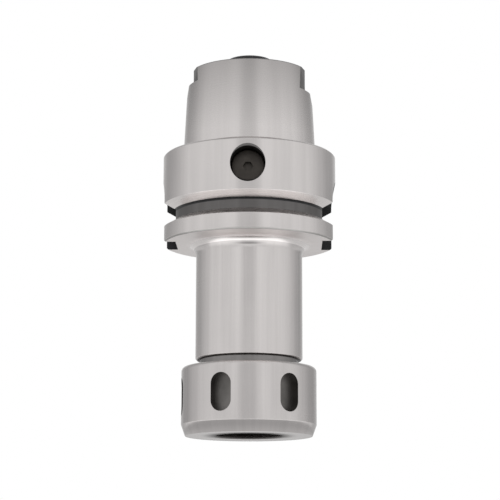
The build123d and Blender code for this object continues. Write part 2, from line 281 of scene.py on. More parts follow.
class Nodes:
    """Short forms for building a node tree."""

    def __init__(self, tree):
        self.tree = tree
        tree.nodes.clear()

    def add(self, kind, **settings):
        node = self.tree.nodes.new(kind)
        for key, value in settings.items():
            setattr(node, key, value)
        return node

    def join(self, source, target):
        self.tree.links.new(source, target)

    def feed(self, value, socket):
        if isinstance(value, bpy.types.NodeSocket):
            self.join(value, socket)
        else:
            socket.default_value = value

    def math(self, operation, first, second=0.0):
        node = self.add("ShaderNodeMath", operation=operation)
        self.feed(first, node.inputs[0])
        self.feed(second, node.inputs[1])
        return node.outputs[0]

    def mixed(self, first, second, share):
        """Two values added, the second by its share and the first by the rest."""
        rest = self.math("MULTIPLY", first, 1 - share)
        return self.math("ADD", rest, self.math("MULTIPLY", second, share))

    def split(self, vector):
        node = self.add("ShaderNodeSeparateXYZ")
        self.join(vector, node.inputs[0])
        return node.outputs

    def distance(self, x, y):
        return self.math("SQRT", self.math("ADD", self.math("MULTIPLY", x, x), self.math("MULTIPLY", y, y)))

    def place(self, kind="Object"):
        return self.add("ShaderNodeTexCoord").outputs[kind]

    def noise(self, vector, scale, detail=2.0, roughness=0.5):
        node = self.add("ShaderNodeTexNoise")
        self.join(vector, node.inputs["Vector"])
        node.inputs["Scale"].default_value = scale
        node.inputs["Detail"].default_value = detail
        node.inputs["Roughness"].default_value = roughness
        return node.outputs["Fac"]

    def spread(self, value, low, high, start=0.3, end=0.7):
        """The value's range from start to end, by default the usual one of a noise, as low to high."""
        node = self.add("ShaderNodeMapRange")
        self.join(value, node.inputs["Value"])
        node.inputs["From Min"].default_value = start
        node.inputs["From Max"].default_value = end
        node.inputs["To Min"].default_value = low
        node.inputs["To Max"].default_value = high
        return node.outputs["Result"]

    def ramp(self, value, stops):
        node = self.add("ShaderNodeValToRGB")
        self.join(value, node.inputs[0])
        elements = node.color_ramp.elements
        for element, (position, level) in zip(elements, (stops[0], stops[-1])):
            element.position = position
            element.color = (level, level, level, 1)
        for position, level in stops[1:-1]:
            elements.new(position).color = (level, level, level, 1)
        return node.outputs["Color"]

    def blend(self, factor, first, second):
        node = self.add("ShaderNodeMix", data_type="RGBA")
        self.feed(factor, node.inputs["Factor"])
        self.feed(first, node.inputs["A"])
        self.feed(second, node.inputs["B"])
        return node.outputs["Result"]

    def choose(self, factor, first, second):
        """The first shader, or the second where the factor is one."""
        node = self.add("ShaderNodeMixShader")
        for source, target in zip((factor, first, second), node.inputs):
            self.join(source, target)
        return node.outputs[0]

    def show(self, shader, kind="ShaderNodeOutputMaterial"):
        self.join(shader, self.add(kind).inputs["Surface"])


def new_material(name):
    """A material with an empty node tree, and short forms for building it."""
    material = bpy.data.materials.new(name)
    material.use_nodes = True
    return material, Nodes(material.node_tree)


def surface(n, color, roughness, metallic, height, depth):
    """The shader of a finish, with its fine relief, joined to the material's output."""
    shader = n.add("ShaderNodeBsdfPrincipled")
    n.join(color, shader.inputs["Base Color"])
    n.join(roughness, shader.inputs["Roughness"])
    shader.inputs["Metallic"].default_value = metallic
    bump = n.add("ShaderNodeBump")
    bump.inputs["Strength"].default_value = depth
    bump.inputs["Distance"].default_value = RELIEF_DISTANCE
    n.join(height, bump.inputs["Height"])
    n.join(bump.outputs[0], shader.inputs["Normal"])
    n.show(shader.outputs[0])
    return shader


def turned_vector(n, place, around, along):
    """Coordinates that run round the turning axis slowly and along it or outward quickly."""
    x, y, z = n.split(place)
    radius = n.distance(x, y)
    safe = n.math("MAXIMUM", radius, AXIS_LIMIT)
    packed = n.add("ShaderNodeCombineXYZ")
    n.join(n.math("MULTIPLY", n.math("DIVIDE", x, safe), around), packed.inputs[0])
    n.join(n.math("MULTIPLY", n.math("DIVIDE", y, safe), around), packed.inputs[1])
    outward = n.math("ADD", z, n.math("MULTIPLY", radius, RING_SLANT))
    n.join(n.math("MULTIPLY", outward, along), packed.inputs[2])
    return packed.outputs[0]


def turned_steel(name, tone, dark_tone, roughness, stretch, line_depth, painted_end_shade=None):
    """Steel with fine marks round the turning axis and soft tones. The shank's end may get a painted shade,
    darker towards the end.
    """
    material, n = new_material(name)
    place = n.place()
    lines = n.noise(turned_vector(n, place, *LINE_REPEATS), *LINE_NOISE)
    streaks = n.noise(turned_vector(n, place, *STREAK_REPEATS), *STREAK_NOISE)
    cloud = n.noise(place, *CLOUD_NOISE)
    tone_mix = n.mixed(streaks, cloud, CLOUD_TONE_SHARE)
    color = n.blend(n.spread(tone_mix, 0.0, 1.0), (*dark_tone, 1), (*tone, 1))
    # Painted shade: the colour darkens towards the shank's end
    if painted_end_shade:
        towards_painted_end_shade = n.spread(n.split(place)[2], 0.0, 1.0, GAUGE_HEIGHT, SHANK_LENGTH)
        color = n.blend(towards_painted_end_shade, color, (*painted_end_shade, 1))
    rough = n.spread(n.mixed(lines, cloud, CLOUD_ROUGH_SHARE), *roughness)
    shader = surface(n, color, rough, 1.0, lines, line_depth)
    shader.inputs["Anisotropic"].default_value = stretch
    tangent = n.add("ShaderNodeTangent", direction_type="RADIAL", axis="Z")
    n.join(tangent.outputs[0], shader.inputs["Tangent"])
    return material


def plain_finish(name, tone, dark_tone, roughness, metallic, grain, depth):
    """A finish with even grain: black oxide, dark steel that paints shade on facets and pockets, rubber or a
    polished ball.
    """
    material, n = new_material(name)
    place = n.place()
    fine = n.noise(place, grain, *GRAIN_NOISE)
    cloud = n.noise(place, grain * GRAIN_CLOUD_SHARE)
    color = n.blend(n.spread(cloud, 0.0, 1.0), (*dark_tone, 1), (*tone, 1))
    surface(n, color, n.spread(fine, *roughness), metallic, fine, depth)
    return material


# Turned finishes: tone, darker tone, roughness from and to, stretch of the highlights, depth of the lines,
# and for the taper the tone of a painted shade at the shank's end
STEEL = turned_steel("ground_steel", (0.645, 0.616, 0.607), (0.565, 0.54, 0.532), (0.2, 0.28), 0.6, 0.07)
NUT_STEEL = turned_steel("nut_steel", (0.59, 0.563, 0.555), (0.515, 0.492, 0.485), (0.2, 0.28), 0.6, 0.07)
# The taper's last tone is a painted shade that darkens the shank towards its end
TAPER_STEEL = turned_steel(
    "taper_steel", (0.66, 0.631, 0.621), (0.59, 0.564, 0.556), (0.22, 0.3), 0.6, 0.08, (0.4, 0.382, 0.376)
)
# Brighter copy of the ground steel: painted light on the groove's flanks and the upper part of the nose
# fillet
FLANK_STEEL_PAINTED_LIGHT = turned_steel("flank_steel_painted_light", (0.85, 0.814, 0.801), (0.8, 0.766, 0.754), (0.22, 0.32), 0.4, 0.07)
# Dark copy of the steel: painted shade in the groove's bottom, on the shank's end chamfer, the nose's end
# face and the chip hole's rim
STEEL_PAINTED_DEEP_SHADE = turned_steel(
    "steel_painted_deep_shade", (0.152, 0.146, 0.144), (0.117, 0.112, 0.11), (0.28, 0.4), 0.4, 0.3
)
# Nearly white copy of the steel: painted light on the flange's underside
UNDER_STEEL_PAINTED_LIGHT = turned_steel("under_steel_painted_light", (0.93, 0.89, 0.876), (0.88, 0.843, 0.829), (0.42, 0.52), 0.0, 0.07)
# Dark copy of the steel: painted shade on the neck between the nose and the nut
NECK_STEEL_PAINTED_SHADE = turned_steel("neck_steel_painted_shade", (0.26, 0.25, 0.246), (0.2, 0.192, 0.189), (0.28, 0.4), 0.4, 0.3)
# Darker copy of the steel: painted shade in the bores, within the nut, on the thread, the flange lip's
# chamfer, the filler hole, the pressure ring and the collet
INNER_STEEL_PAINTED_SHADE = turned_steel("inner_steel_painted_shade", (0.42, 0.41, 0.4), (0.36, 0.35, 0.34), (0.28, 0.4), 0.5, 0.3)

# Plain finishes: tone, darker tone, roughness from and to, share of metal, grain, and depth of the grain
HOLE_BLACK = plain_finish(
    "hole_black", (0.012, 0.01, 0.008), (0.006, 0.005, 0.004), (0.5, 0.7), 0.2, 2600.0, 0.3
)
OXIDE = plain_finish(
    "black_oxide", (0.028, 0.028, 0.03), (0.014, 0.014, 0.015), (0.3, 0.48), 0.5, 2600.0, 0.25
)
# Dark steel: painted shade on the keyway facets
FACET_STEEL_PAINTED_SHADE = plain_finish(
    "facet_steel_painted_shade", (0.2, 0.195, 0.19), (0.14, 0.137, 0.135), (0.32, 0.45), 1.0, 1800.0, 0.2
)
# Dark steel: painted shade in the nut's spanner pockets
POCKET_PAINTED_SHADE = plain_finish(
    "pocket_steel_painted_shade", (0.16, 0.152, 0.146), (0.11, 0.105, 0.1), (0.32, 0.45), 1.0, 1800.0, 0.2
)
PLUG = plain_finish("dark_plug", (0.07, 0.061, 0.053), (0.043, 0.037, 0.032), (0.28, 0.45), 0.6, 2200.0, 0.2)
BALL = plain_finish("ball_steel", (0.7, 0.7, 0.71), (0.64, 0.64, 0.65), (0.06, 0.12), 1.0, 1800.0, 0.05)
RUBBER = plain_finish("seal_rubber", (0.02, 0.02, 0.02), (0.012, 0.012, 0.012), (0.5, 0.7), 0.0, 3000.0, 0.3)

# Which finish each band of the turned pieces has by name, and each CAD node that shows as it is
BODY_FINISHES = {
    "ground": STEEL,
    "taper": TAPER_STEEL,
    "painted_deep_shade": STEEL_PAINTED_DEEP_SHADE,
    "painted_mid_shade": INNER_STEEL_PAINTED_SHADE,
    "black": OXIDE,
    "painted_light": FLANK_STEEL_PAINTED_LIGHT,
    "painted_shade_neck": NECK_STEEL_PAINTED_SHADE,
    "painted_light_underside": UNDER_STEEL_PAINTED_LIGHT,
}
NUT_FINISHES = {"outside": NUT_STEEL, "painted_mid_shade": INNER_STEEL_PAINTED_SHADE}
CAD_FINISHES = {
    # The pressure ring and the collet take the darker inner finish, painted shade
    "pressure_ring": INNER_STEEL_PAINTED_SHADE,
    "collet": INNER_STEEL_PAINTED_SHADE,
    "ball_filler_plug": NUT_STEEL,
    "stop_screw": OXIDE,
    "coolant_tube": OXIDE,
    "coolant_union": OXIDE,
    "coolant_seal_lower": RUBBER,
    "coolant_seal_upper": RUBBER,
}


def taper_radius(height):
    """Radius of the shank's outside at a height above the flange face."""
    return GAUGE_RADIUS - (height - GAUGE_HEIGHT) * TAPER_SLOPE


def rounded(points, neighbours):
    """A stretch of outline with each corner rounded a little, between the points before and after it."""
    result = []
    chain = [neighbours[0]] + points + [neighbours[1]]
    for index, here in enumerate(points):
        before = Vector(chain[index]) - Vector(here)
        after = Vector(chain[index + 2]) - Vector(here)
        if before.angle(after) > STRAIGHT_ANGLE:
            result.append(tuple(here))
            continue
        reach = min(EDGE_ROUND, EDGE_SHARE * before.length, EDGE_SHARE * after.length)
        start = Vector(here) + before.normalized() * reach
        end = Vector(here) + after.normalized() * reach
        for step in range(EDGE_STEPS + 1):
            share = step / EDGE_STEPS
            first = start.lerp(Vector(here), share)
            second = Vector(here).lerp(end, share)
            result.append(tuple(first.lerp(second, share)))
    return result


def arc(centre, radius, start, sweep, steps=ARC_STEPS):
    """Points on a round stretch of an outline, with angles in degrees."""
    points = []
    for step in range(steps + 1):
        angle = math.radians(start + sweep * step / steps)
        points.append((centre[0] + radius * math.cos(angle), centre[1] + radius * math.sin(angle)))
    return points


def finished_mesh(bm, name, materials):
    """The object that a built mesh makes, with its materials."""
    bmesh.ops.recalc_face_normals(bm, faces=bm.faces)
    mesh = bpy.data.meshes.new(name)
    bm.to_mesh(mesh)
    bm.free()
    for material in materials:
        mesh.materials.append(material)
    return link(name, mesh)


def lathe(name, outline, finish_at, finishes):
    """A solid turned from a closed outline of radius and height. finish_at names each band's finish."""
    slots = {finish: slot for slot, finish in enumerate(finishes)}
    bm = bmesh.new()
    rings = []
    for radius, height in outline:
        if radius < NEAR:
            rings.append([bm.verts.new((0, 0, height))])
            continue
        ring = []
        for step in range(TURNS):
            angle = 2 * math.pi * step / TURNS
            ring.append(bm.verts.new((radius * math.cos(angle), radius * math.sin(angle), height)))
        rings.append(ring)
    for index, ring in enumerate(rings):
        following = rings[(index + 1) % len(rings)]
        first = outline[index]
        second = outline[(index + 1) % len(outline)]
        finish = finish_at((first[0] + second[0]) / 2, (first[1] + second[1]) / 2)
        for step in range(TURNS):
            onward = (step + 1) % TURNS
            corners = [ring[step % len(ring)], ring[onward % len(ring)]]
            corners += [following[onward % len(following)], following[step % len(following)]]
            unique = list(dict.fromkeys(corners))
            if len(unique) > 2:
                bm.faces.new(unique).material_index = slots[finish]
    return finished_mesh(bm, name, finishes.values())


def loft(name, first, second, material):
    """A closed solid between two outlines with the same number of points."""
    bm = bmesh.new()
    low = [bm.verts.new(p) for p in first]
    high = [bm.verts.new(p) for p in second]
    bm.faces.new(low)
    bm.faces.new(high)
    for index in range(len(low)):
        onward = (index + 1) % len(low)
        bm.faces.new((low[index], low[onward], high[onward], high[index]))
    return finished_mesh(bm, name, [material])


def round_ended(width, round_at, flat_at):
    """Outline of a slot with one round end, as pairs of side and height."""
    upward = 1 if flat_at > round_at else -1
    radius = width / 2
    centre = round_at + upward * radius
    points = []
    for step in range(CUT_STEPS + 1):
        angle = math.pi * step / CUT_STEPS
        points.append((-radius * math.cos(angle), centre - upward * radius * math.sin(angle)))
    points += [(radius, flat_at), (-radius, flat_at)]
    return points


def obround(width, height):
    """Outline of a slot with two round ends, centred, as pairs of side and height."""
    radius = width / 2
    rise = height / 2 - radius
    points = []
    for centre, start in ((rise, 0), (-rise, math.pi)):
        for step in range(CUT_STEPS + 1):
            angle = start + math.pi * step / CUT_STEPS
            points.append((radius * math.cos(angle), centre + radius * math.sin(angle)))
    return points


def circle(radius, sides=2 * CUT_STEPS):
    """Outline of a circle, centred, as pairs of side and height."""
    angles = [2 * math.pi * step / sides for step in range(sides)]
    return [(radius * math.cos(angle), radius * math.sin(angle)) for angle in angles]


def placed(outline, origin, side, up=UP):
    """Points in space of an outline laid in the plane through origin."""
    return [origin + side * a + up * b for a, b in outline]


def bar(name, outline, start, end, side, material):
    """A cutter with one upright outline from start to end."""
    return loft(name, placed(outline, start, side), placed(outline, end, side), material)


def cut(target, cutters):
    """Take the cutters out of the target, each with its own finish, and delete them."""
    for cutter in cutters:
        modifier = target.modifiers.new("cut", "BOOLEAN")
        modifier.operation = "DIFFERENCE"
        modifier.solver = "EXACT"
        modifier.material_mode = "TRANSFER"
        modifier.object = cutter
        bpy.context.view_layer.update()
        graph = bpy.context.evaluated_depsgraph_get()
        result = bpy.data.meshes.new_from_object(target.evaluated_get(graph))
        target.modifiers.clear()
        target.data = result
        bpy.data.objects.remove(cutter)


def segment_normals(outline):
    """The segments of a closed outline: start, direction, length, normal, and soft normals at both ends."""
    count = len(outline)
    directions = []
    lengths = []
    for index, here in enumerate(outline):
        onward = Vector(outline[(index + 1) % count]) - Vector(here)
        lengths.append(onward.length)
        directions.append(onward.normalized() if onward.length > SHORTEST else Vector((0, 0)))
    segments = []
    for index, along in enumerate(directions):
        if lengths[index] < SHORTEST:
            continue
        across = Vector((along.y, -along.x))
        ends = []
        for position in (index, (index + 1) % count):
            before = directions[position - 1]
            after = directions[position]
            if before.angle(after, math.pi) < SHARP_ANGLE:
                mean = (before + after).normalized()
                ends.append(Vector((mean.y, -mean.x)))
            else:
                ends.append(across)
        segments.append((Vector(outline[index]), along, lengths[index], across, ends))
    return segments


def shade(obj, outline):
    """Smooth shading with true normals on the turned surfaces and soft ones on the cuts."""
    mesh = obj.data
    for polygon in mesh.polygons:
        polygon.use_smooth = True
    mesh.set_sharp_from_angle(angle=SHARP_ANGLE)
    normals = [Vector(corner.vector) for corner in mesh.corner_normals]
    segments = segment_normals(outline)
    for polygon in mesh.polygons:
        middle = polygon.center
        normal = polygon.normal
        radius = math.hypot(middle.x, middle.y)
        if radius < NEAR:
            continue
        spot = Vector((radius, middle.z))
        facing = Vector((normal.x * middle.x / radius + normal.y * middle.y / radius, normal.z))
        for start, along, length, across, ends in segments:
            offset = spot - start
            travel = offset.dot(along)
            if travel < -NEAR or travel > length + NEAR or abs(offset.cross(along)) > SURFACE_SLACK:
                continue
            if abs(facing.dot(across)) < SURFACE_MATCH:
                continue
            sign = 1 if facing.dot(across) > 0 else -1
            for loop in polygon.loop_indices:
                point = mesh.vertices[mesh.loops[loop].vertex_index].co
                reach = math.hypot(point.x, point.y)
                if reach < NEAR:
                    continue
                share = (Vector((reach, point.z)) - start).dot(along) / length
                mixed = ends[0].lerp(ends[1], min(max(share, 0.0), 1.0)) * sign
                mixed.normalize()
                normals[loop] = Vector((mixed.x * point.x / reach, mixed.x * point.y / reach, mixed.y))
            break
    mesh.normals_split_custom_set(normals)


def body_outline():
    """Section of the chuck body, closed: outside down, then the bores up."""
    relief_radius = taper_radius(RELIEF_HEIGHT) - RELIEF_DEPTH
    relief_face = relief_radius + RELIEF_FACE_WIDTH
    groove_high = GROOVE_CENTRE + GROOVE_BOTTOM_WIDTH / 2
    groove_low = GROOVE_CENTRE - GROOVE_BOTTOM_WIDTH / 2
    root = THREAD_RADIUS - THREAD_DEPTH
    mouth_top = (CAVITY_MOUTH_RADIUS + CAVITY_MOUTH_CHAMFER, SHANK_LENGTH)
    mouth_wall = (CAVITY_MOUTH_RADIUS, SHANK_LENGTH - CAVITY_MOUTH_CHAMFER)
    fillet_start = (NOSE_RADIUS + NOSE_FILLET, FLANGE_BOTTOM)
    fillet_end = (NOSE_RADIUS, FLANGE_BOTTOM - NOSE_FILLET)
    bevel_rise = (CAVITY_RADIUS - CAVITY_MOUTH_RADIUS) / math.tan(CAVITY_BEVEL_ANGLE)
    upper = rounded(
        [
            mouth_top,
            (taper_radius(SHANK_LENGTH) - SHANK_END_CHAMFER, SHANK_LENGTH),
            (taper_radius(SHANK_LENGTH - SHANK_END_CHAMFER), SHANK_LENGTH - SHANK_END_CHAMFER),
            (taper_radius(RELIEF_HEIGHT + RELIEF_DEPTH), RELIEF_HEIGHT + RELIEF_DEPTH),
            (relief_radius, RELIEF_HEIGHT),
            (relief_radius, -RELIEF_DEPTH),
            (relief_face, -RELIEF_DEPTH),
            (relief_face + RELIEF_DEPTH, 0),
            (FLANGE_RADIUS - FLANGE_TOP_CHAMFER, 0),
            (FLANGE_RADIUS, -FLANGE_TOP_CHAMFER),
            (FLANGE_RADIUS, groove_high + GROOVE_FLANK_HEIGHT),
            (GROOVE_BOTTOM_RADIUS + GROOVE_SHADE / GROOVE_FLANK_SLOPE, groove_high + GROOVE_SHADE),
            (GROOVE_BOTTOM_RADIUS, groove_high),
            (GROOVE_BOTTOM_RADIUS, groove_high - GROOVE_SHADE),
            (GROOVE_BOTTOM_RADIUS, groove_low),
            (FLANGE_RADIUS, groove_low - GROOVE_FLANK_HEIGHT),
            (FLANGE_RADIUS, FLANGE_BOTTOM + FLANGE_LIP_CHAMFER),
            (FLANGE_RADIUS - FLANGE_LIP_CHAMFER, FLANGE_BOTTOM),
        ],
        (mouth_wall, fillet_start),
    )
    fillet = arc((fillet_start[0], fillet_end[1]), NOSE_FILLET, 90, 90)
    lower = rounded(
        [
            (NOSE_RADIUS, NOSE_END + NOSE_END_CHAMFER),
            (NOSE_RADIUS - NOSE_END_CHAMFER, NOSE_END),
            (NECK_RADIUS, NOSE_END),
            (NECK_RADIUS, NECK_END),
            (root, NECK_END - (root - NECK_RADIUS)),
            (root, BODY_END + THREAD_LEAD_CHAMFER),
            (THREAD_RADIUS - THREAD_LEAD_CHAMFER, BODY_END),
            (CONE_MOUTH_RADIUS, BODY_END),
            (CONE_END_RADIUS, CONE_BORE_END),
            (STOP_BORE_RADIUS, CONE_BORE_END),
            (STOP_BORE_RADIUS, STOP_BORE_TOP),
            (CHANNEL_RADIUS, STOP_BORE_TOP),
            (CHANNEL_RADIUS, UNION_FLOOR),
            (UNION_BORE_RADIUS, UNION_FLOOR),
            (UNION_BORE_RADIUS, CAVITY_FLOOR),
            (CAVITY_RADIUS - CAVITY_FLOOR_FILLET, CAVITY_FLOOR),
            (CAVITY_RADIUS, CAVITY_FLOOR + CAVITY_FLOOR_FILLET),
            (CAVITY_RADIUS, CAVITY_BEVEL_TOP - bevel_rise),
            (CAVITY_MOUTH_RADIUS, CAVITY_BEVEL_TOP),
            mouth_wall,
        ],
        (fillet_end, mouth_top),
    )
    return upper + fillet + lower


def body_finish(radius, height):
    """Which of BODY_FINISHES a band of the body has."""
    # Painted shade in the shank's cavity and the bores below
    if radius < CAVITY_RADIUS + WALL_MARGIN and height > UNION_FLOOR - MM:
        return "painted_mid_shade"
    if radius < BORE_LIMIT and height < STOP_BORE_TOP + MM:
        return "painted_mid_shade"
    below_end = SHANK_LENGTH - height
    end_face = taper_radius(SHANK_LENGTH) - SHANK_END_CHAMFER
    # Painted shade on the shank's end chamfer
    if FINISH_MARGIN < below_end < SHANK_END_CHAMFER and radius > end_face:
        return "painted_deep_shade"
    if height > FINISH_MARGIN:
        return "taper"
    # Painted shade below the nose's end: the neck finish on the neck, and the deep one on the nose's end face
    if height < NOSE_END + FINISH_MARGIN:
        return "painted_shade_neck" if radius < NECK_RADIUS + RADIUS_MARGIN else "painted_deep_shade"
    above_flange_bottom = height - FLANGE_BOTTOM
    # Painted light on the flange's underside and the top edge of the nose fillet
    if -UNDERSIDE_SHARE * NOSE_FILLET < above_flange_bottom < FINISH_MARGIN:
        return "painted_light_underside"
    # Painted light: the upper part of the nose fillet gets the brighter flank finish
    if -FILLET_SHARE * NOSE_FILLET < above_flange_bottom < 0:
        return "painted_light"
    # Painted shade on the flange lip's bottom chamfer
    on_lip = radius < FLANGE_RADIUS - RADIUS_MARGIN
    if FINISH_MARGIN < above_flange_bottom < FLANGE_LIP_CHAMFER and on_lip:
        return "painted_mid_shade"
    from_groove = abs(height - GROOVE_CENTRE)
    from_edge = abs(height - GROOVE_CENTRE - GROOVE_BOTTOM_WIDTH / 2)
    # Painted shade: a black line at the groove's upper corner, in the black oxide finish
    if from_edge < GROOVE_SHADE and radius < GROOVE_BOTTOM_RADIUS + GROOVE_SHADE / GROOVE_FLANK_SLOPE:
        return "black"
    # Painted shade on the groove's bottom
    if from_groove < GROOVE_BOTTOM_WIDTH / 2 and radius < GROOVE_BOTTOM_RADIUS + WALL_MARGIN:
        return "painted_deep_shade"
    # Painted light: the groove's flanks get the brighter finish
    in_flange = NOSE_RADIUS + NOSE_FILLET < radius < FLANGE_RADIUS - EDGE_ROUND / 2
    if from_groove < GROOVE_BOTTOM_WIDTH / 2 + GROOVE_FLANK_HEIGHT and in_flange:
        return "painted_light"
    return "ground"


def chip_hole_cutters():
    """The chip hole and the countersink at its rim."""
    side = Vector((1, 0, 0))
    mouth = Vector((0, -FLANGE_RADIUS - CUT_MARGIN, CHIP_HOLE_CENTRE))
    floor = Vector((0, CHIP_HOLE_DEPTH - FLANGE_RADIUS, CHIP_HOLE_CENTRE))
    rim_start = Vector((0, CHIP_RIM_CHAMFER - FLANGE_RADIUS, CHIP_HOLE_CENTRE))
    hole = circle(CHIP_HOLE_RADIUS)
    rim = circle(CHIP_HOLE_RADIUS + CHIP_RIM_CHAMFER + CUT_MARGIN)
    return [
        bar("chip_hole", hole, floor, mouth, side, HOLE_BLACK),
        # The countersink takes the dark finish: painted shade at the chip hole's rim
        loft("chip_rim", placed(hole, rim_start, side), placed(rim, mouth, side), STEEL_PAINTED_DEEP_SHADE),
    ]


def keyway_cutters():
    """The two keyways in the shank's end and the facets at their corners."""
    cutters = []
    top = SHANK_LENGTH + CUT_MARGIN
    far = GAUGE_RADIUS + CUT_MARGIN
    lean = math.tan(KEYWAY_FACET_LEAN)
    crest = KEYWAY_FACET_CREST + (KEYWAY_WIDTH / 2 - KEYWAY_FACET_START) * lean
    low_crest = crest - (KEYWAY_FACET_END - KEYWAY_FACET_START) * lean
    corners = (
        (crest, KEYWAY_FACET_START),
        (low_crest, KEYWAY_FACET_END),
        (far, KEYWAY_FACET_END),
        (far, KEYWAY_FACET_START),
    )
    for side, depth in KEYWAY_DEPTHS.items():
        floor = SHANK_LENGTH - depth
        outward = Vector((side, 0, 0))
        shape = round_ended(KEYWAY_WIDTH, floor, top)
        start = outward * KEYWAY_INNER_REACH
        cutters.append(bar("keyway", shape, start, outward * far, Vector((0, 1, 0)), TAPER_STEEL))
        for way in (-1, 1):
            low = [Vector((side * a, way * b, floor + KEYWAY_FACET_RISE)) for a, b in corners]
            high = [Vector((p.x, p.y, top)) for p in low]
            # The facets take the dark finish, painted shade
            cutters.append(loft("keyway_facet", low, high, FACET_STEEL_PAINTED_SHADE))
    return cutters


def side_slot_cutters():
    """The two slots in the flange's sides, open at its bottom."""
    cutters = []
    for side, width in SLOT_WIDTHS.items():
        shape = round_ended(width, SLOT_TOP, FLANGE_BOTTOM - CUT_MARGIN)
        outward = Vector((side, 0, 0))
        start = outward * SLOT_FLOOR
        end = outward * (FLANGE_RADIUS + CUT_MARGIN)
        cutters.append(bar("side_slot", shape, start, end, Vector((0, 1, 0)), OXIDE))
    return cutters


def make_body():
    """The chuck body with its chip hole, keyways and side slots."""
    outline = body_outline()
    body = lathe("body_turned", outline, body_finish, BODY_FINISHES)
    cut(body, chip_hole_cutters() + keyway_cutters() + side_slot_cutters())
    shade(body, outline)
    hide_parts("chuck_body")
    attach(body, "chuck")


def make_thread():
    """The raised thread on the nose's end, one helix that fades out at both ends."""
    start = BODY_END + HELIX_ROOM
    turns = (NECK_END - BODY_END - 2 * HELIX_ROOM) / THREAD_PITCH
    root = THREAD_RADIUS - THREAD_DEPTH - HELIX_SINK
    section = (
        (root, -HELIX_ROOT_SHARE * THREAD_PITCH),
        (THREAD_RADIUS, -HELIX_CREST_SHARE * THREAD_PITCH),
        (THREAD_RADIUS, HELIX_CREST_SHARE * THREAD_PITCH),
        (root, HELIX_ROOT_SHARE * THREAD_PITCH),
    )
    bm = bmesh.new()
    rows = []
    total = int(turns * THREAD_STEPS)
    fade_steps = HELIX_FADE_TURNS * THREAD_STEPS
    for step in range(total + 1):
        angle = 2 * math.pi * step / THREAD_STEPS
        fade = min(1.0, step / fade_steps, (total - step) / fade_steps)
        row = []
        for radius, rise in section:
            reach = root + (radius - root) * fade
            height = start + THREAD_PITCH * step / THREAD_STEPS + rise * max(fade, HELIX_LEAST_WIDTH)
            row.append(bm.verts.new((reach * math.cos(angle), -reach * math.sin(angle), height)))
        rows.append(row)
    for here, onward in zip(rows, rows[1:]):
        for index in range(len(section)):
            following = (index + 1) % len(section)
            bm.faces.new((here[index], here[following], onward[following], onward[index]))
    bm.faces.new(rows[0])
    bm.faces.new(rows[-1])
    # The thread takes the darker inner finish, painted shade
    thread = finished_mesh(bm, "nose_thread", [INNER_STEEL_PAINTED_SHADE])
    for polygon in thread.data.polygons:
        polygon.use_smooth = True
    thread.data.set_sharp_from_angle(angle=CREASE_ANGLE)
    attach(thread, "chuck")


def nut_outline():
    """Section of the clamping nut, closed."""
    corner = math.degrees(math.asin((NUT_CAVITY_RADIUS - RACE_CIRCLE_RADIUS) / RACE_RADIUS))
    outside = [(NUT_BORE_RADIUS + NUT_THREAD_LEAD, NUT_TOP)]
    outside += arc((NUT_RADIUS - NUT_TOP_ROUND, NUT_TOP - NUT_TOP_ROUND), NUT_TOP_ROUND, 90, -90)
    race = arc((RACE_CIRCLE_RADIUS, RACE_LEVEL), RACE_RADIUS, -90 + corner, 180 - 2 * corner)
    lower = rounded(
        [
            (NUT_RADIUS, NUT_NOSE_TOP),
            (NUT_FACE_RADIUS, NUT_FACE),
            (NUT_MOUTH_RADIUS + NUT_MOUTH_CHAMFER, NUT_FACE),
            (NUT_MOUTH_RADIUS, NUT_FACE + NUT_MOUTH_CHAMFER),
            (NUT_MOUTH_RADIUS, NUT_INNER_FLOOR),
            (NUT_CAVITY_RADIUS, NUT_INNER_FLOOR),
        ],
        (outside[-1], race[0]),
    )
    top = [
        (NUT_CAVITY_RADIUS, NUT_STEP),
        (NUT_BORE_RADIUS, NUT_STEP),
        (NUT_BORE_RADIUS, NUT_TOP - NUT_THREAD_LEAD),
    ]
    return outside + lower + race + top


def nut_finish(radius, height):
    """Which of NUT_FINISHES a band of the nut has."""
    # Painted shade within the nut; the lowest part of the mouth keeps the nut's own steel
    if radius < NUT_BORE_RADIUS + NUT_INSIDE_REACH and height > NUT_INNER_FLOOR - NUT_MARGIN:
        return "painted_mid_shade"
    if radius < NUT_MOUTH_RADIUS + NUT_MARGIN and height > NUT_FACE + NUT_MOUTH_BRIGHT:
        return "painted_mid_shade"
    return "outside"


def nut_cutter(name, outline, angle, height, depth_radius, material):
    """A cutter that enters the nut from outside at an angle and height, as deep as a radius."""
    outward = Vector((math.cos(angle), math.sin(angle), 0))
    across = Vector((-math.sin(angle), math.cos(angle), 0))
    centre = Vector((0, 0, height))
    start = centre + outward * depth_radius
    end = centre + outward * (NUT_RADIUS + CUT_MARGIN)
    return bar(name, outline, start, end, across, material)


def make_nut():
    """The clamping nut with its six spanner pockets and the ball filler hole."""
    outline = nut_outline()
    nut = lathe("nut_turned", outline, nut_finish, NUT_FINISHES)
    pocket = obround(POCKET_WIDTH, POCKET_HEIGHT)
    cutters = []
    for index in range(POCKET_COUNT):
        angle = POCKET_FIRST_ANGLE + 2 * math.pi * index / POCKET_COUNT
        # The pockets take the dark finish, painted shade
        cutters.append(nut_cutter("pocket", pocket, angle, POCKET_CENTRE, NUT_RADIUS - POCKET_DEPTH, POCKET_PAINTED_SHADE))
    hole = circle(FILLER_HOLE_RADIUS)
    # The filler hole takes the darker inner finish, painted shade
    cutters.append(nut_cutter("filler_hole", hole, FILLER_ANGLE, RACE_LEVEL, RACE_CIRCLE_RADIUS, INNER_STEEL_PAINTED_SHADE))
    cut(nut, cutters)
    shade(nut, outline)
    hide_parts("clamping_nut")
    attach(nut, "nut")


